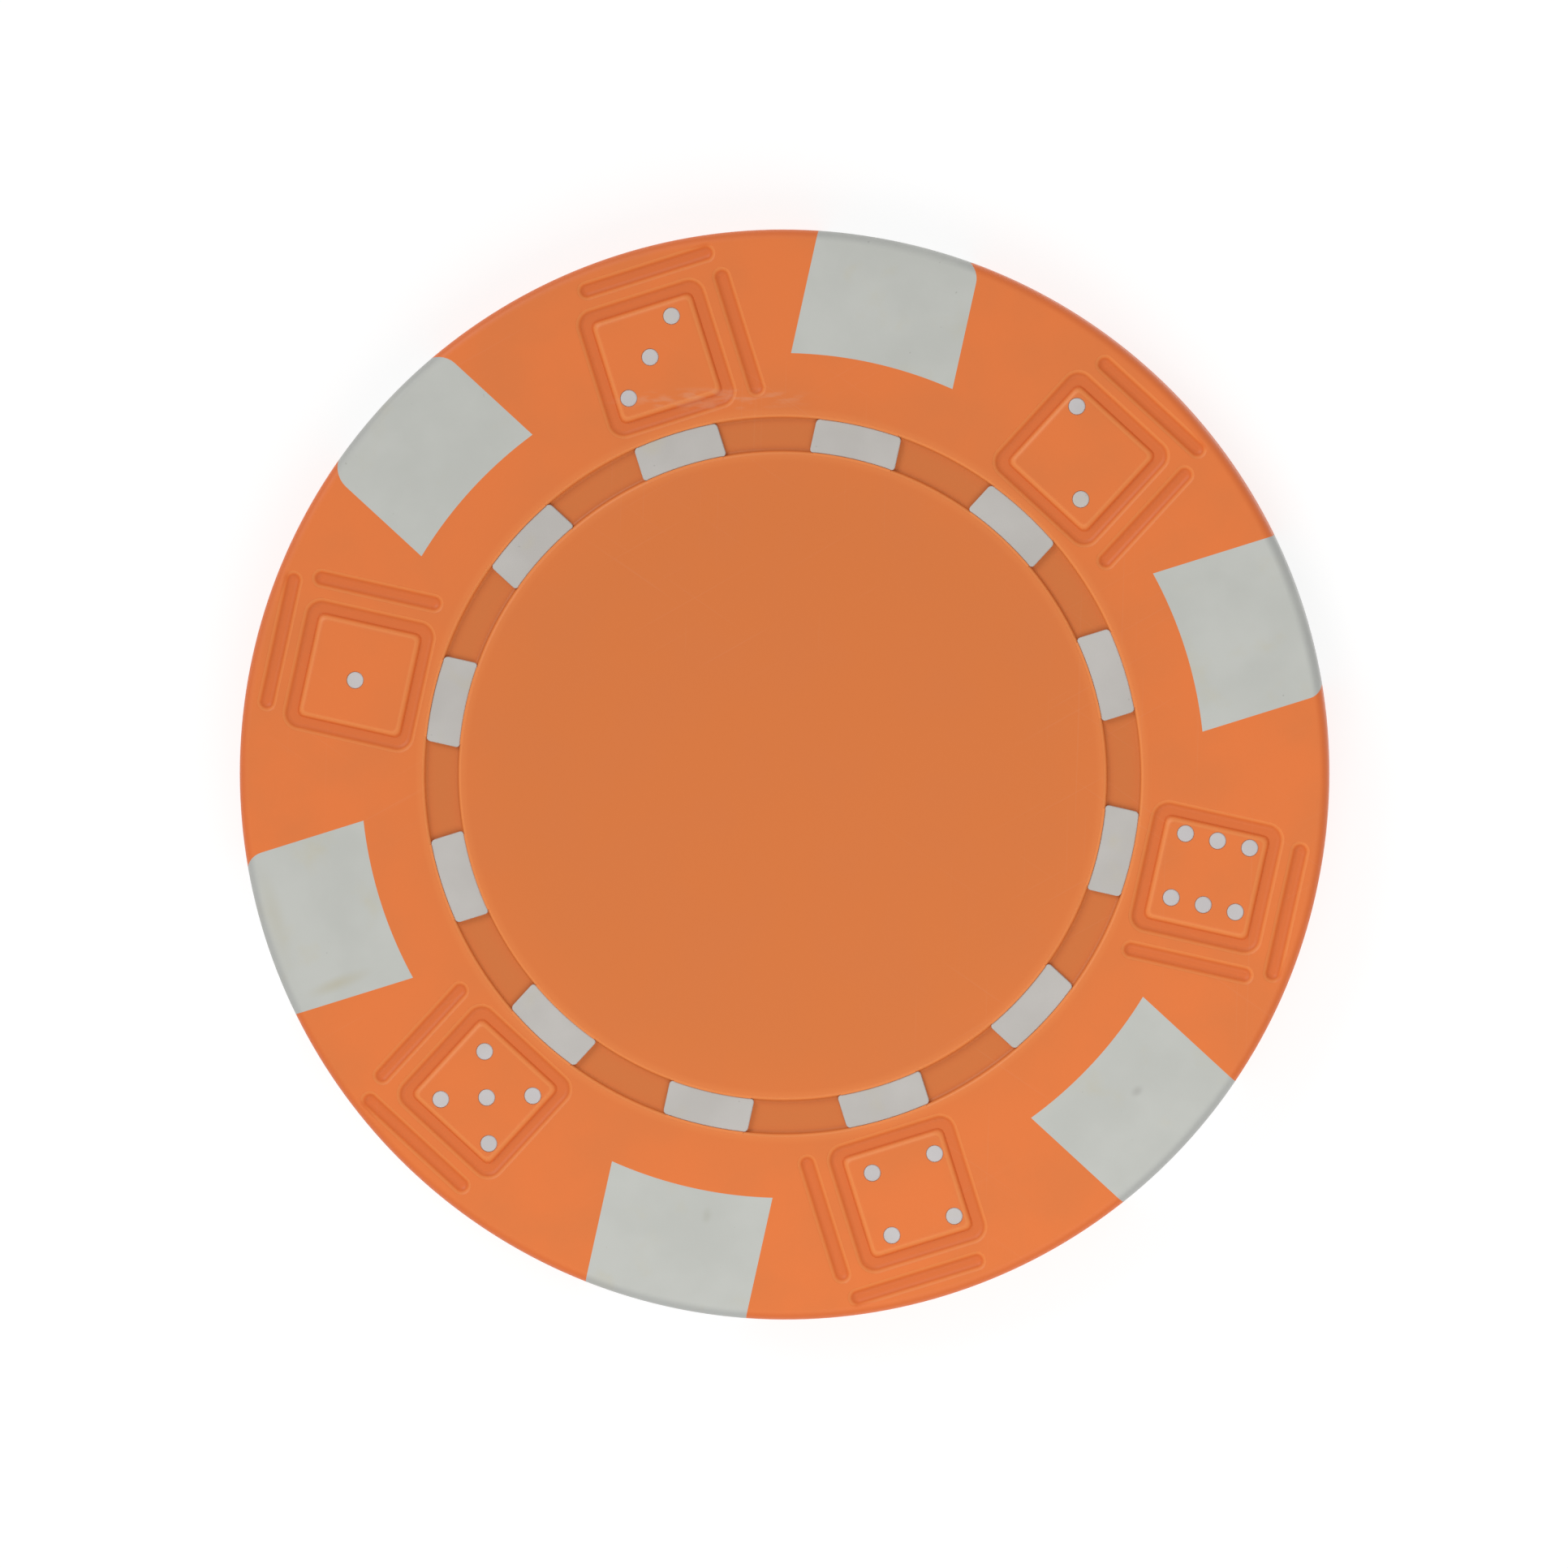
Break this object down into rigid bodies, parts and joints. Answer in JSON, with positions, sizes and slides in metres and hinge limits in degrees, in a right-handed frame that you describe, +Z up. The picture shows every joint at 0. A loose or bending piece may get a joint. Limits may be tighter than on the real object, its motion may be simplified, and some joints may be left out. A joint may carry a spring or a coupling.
{
  "type": "poker chip",
  "caption": "Round weighted gaming chip of orange and white plastic round a steel slug, with white edge blocks, a ring of white stripes and die faces moulded into both faces.",
  "frame": {"origin": "centre of the lower face, on the surface that the chip lies on", "axes": "+Z up through the chip's thickness, +X through the middle of edge_block_1"},
  "size_m": [0.039, 0.039, 0.0033],
  "materials": {
    "orange_plastic": "satin",
    "white_plastic": "satin",
    "slug_steel": "matte"
  },
  "bodies": {
    "root": {"upper_shell": "orange_plastic", "lower_shell": "orange_plastic", "steel_slug": "slug_steel", "edge_block_1": "white_plastic", "edge_block_2": "white_plastic", "edge_block_3": "white_plastic", "edge_block_4": "white_plastic", "edge_block_5": "white_plastic", "edge_block_6": "white_plastic", "upper_stripe_ring": "white_plastic", "lower_stripe_ring": "white_plastic", "upper_pips_1": "white_plastic", "upper_pips_2": "white_plastic", "upper_pips_3": "white_plastic", "upper_pips_4": "white_plastic", "upper_pips_5": "white_plastic", "upper_pips_6": "white_plastic", "lower_pips_1": "white_plastic", "lower_pips_2": "white_plastic", "lower_pips_3": "white_plastic", "lower_pips_4": "white_plastic", "lower_pips_5": "white_plastic", "lower_pips_6": "white_plastic"}
  },
  "joints": []
}
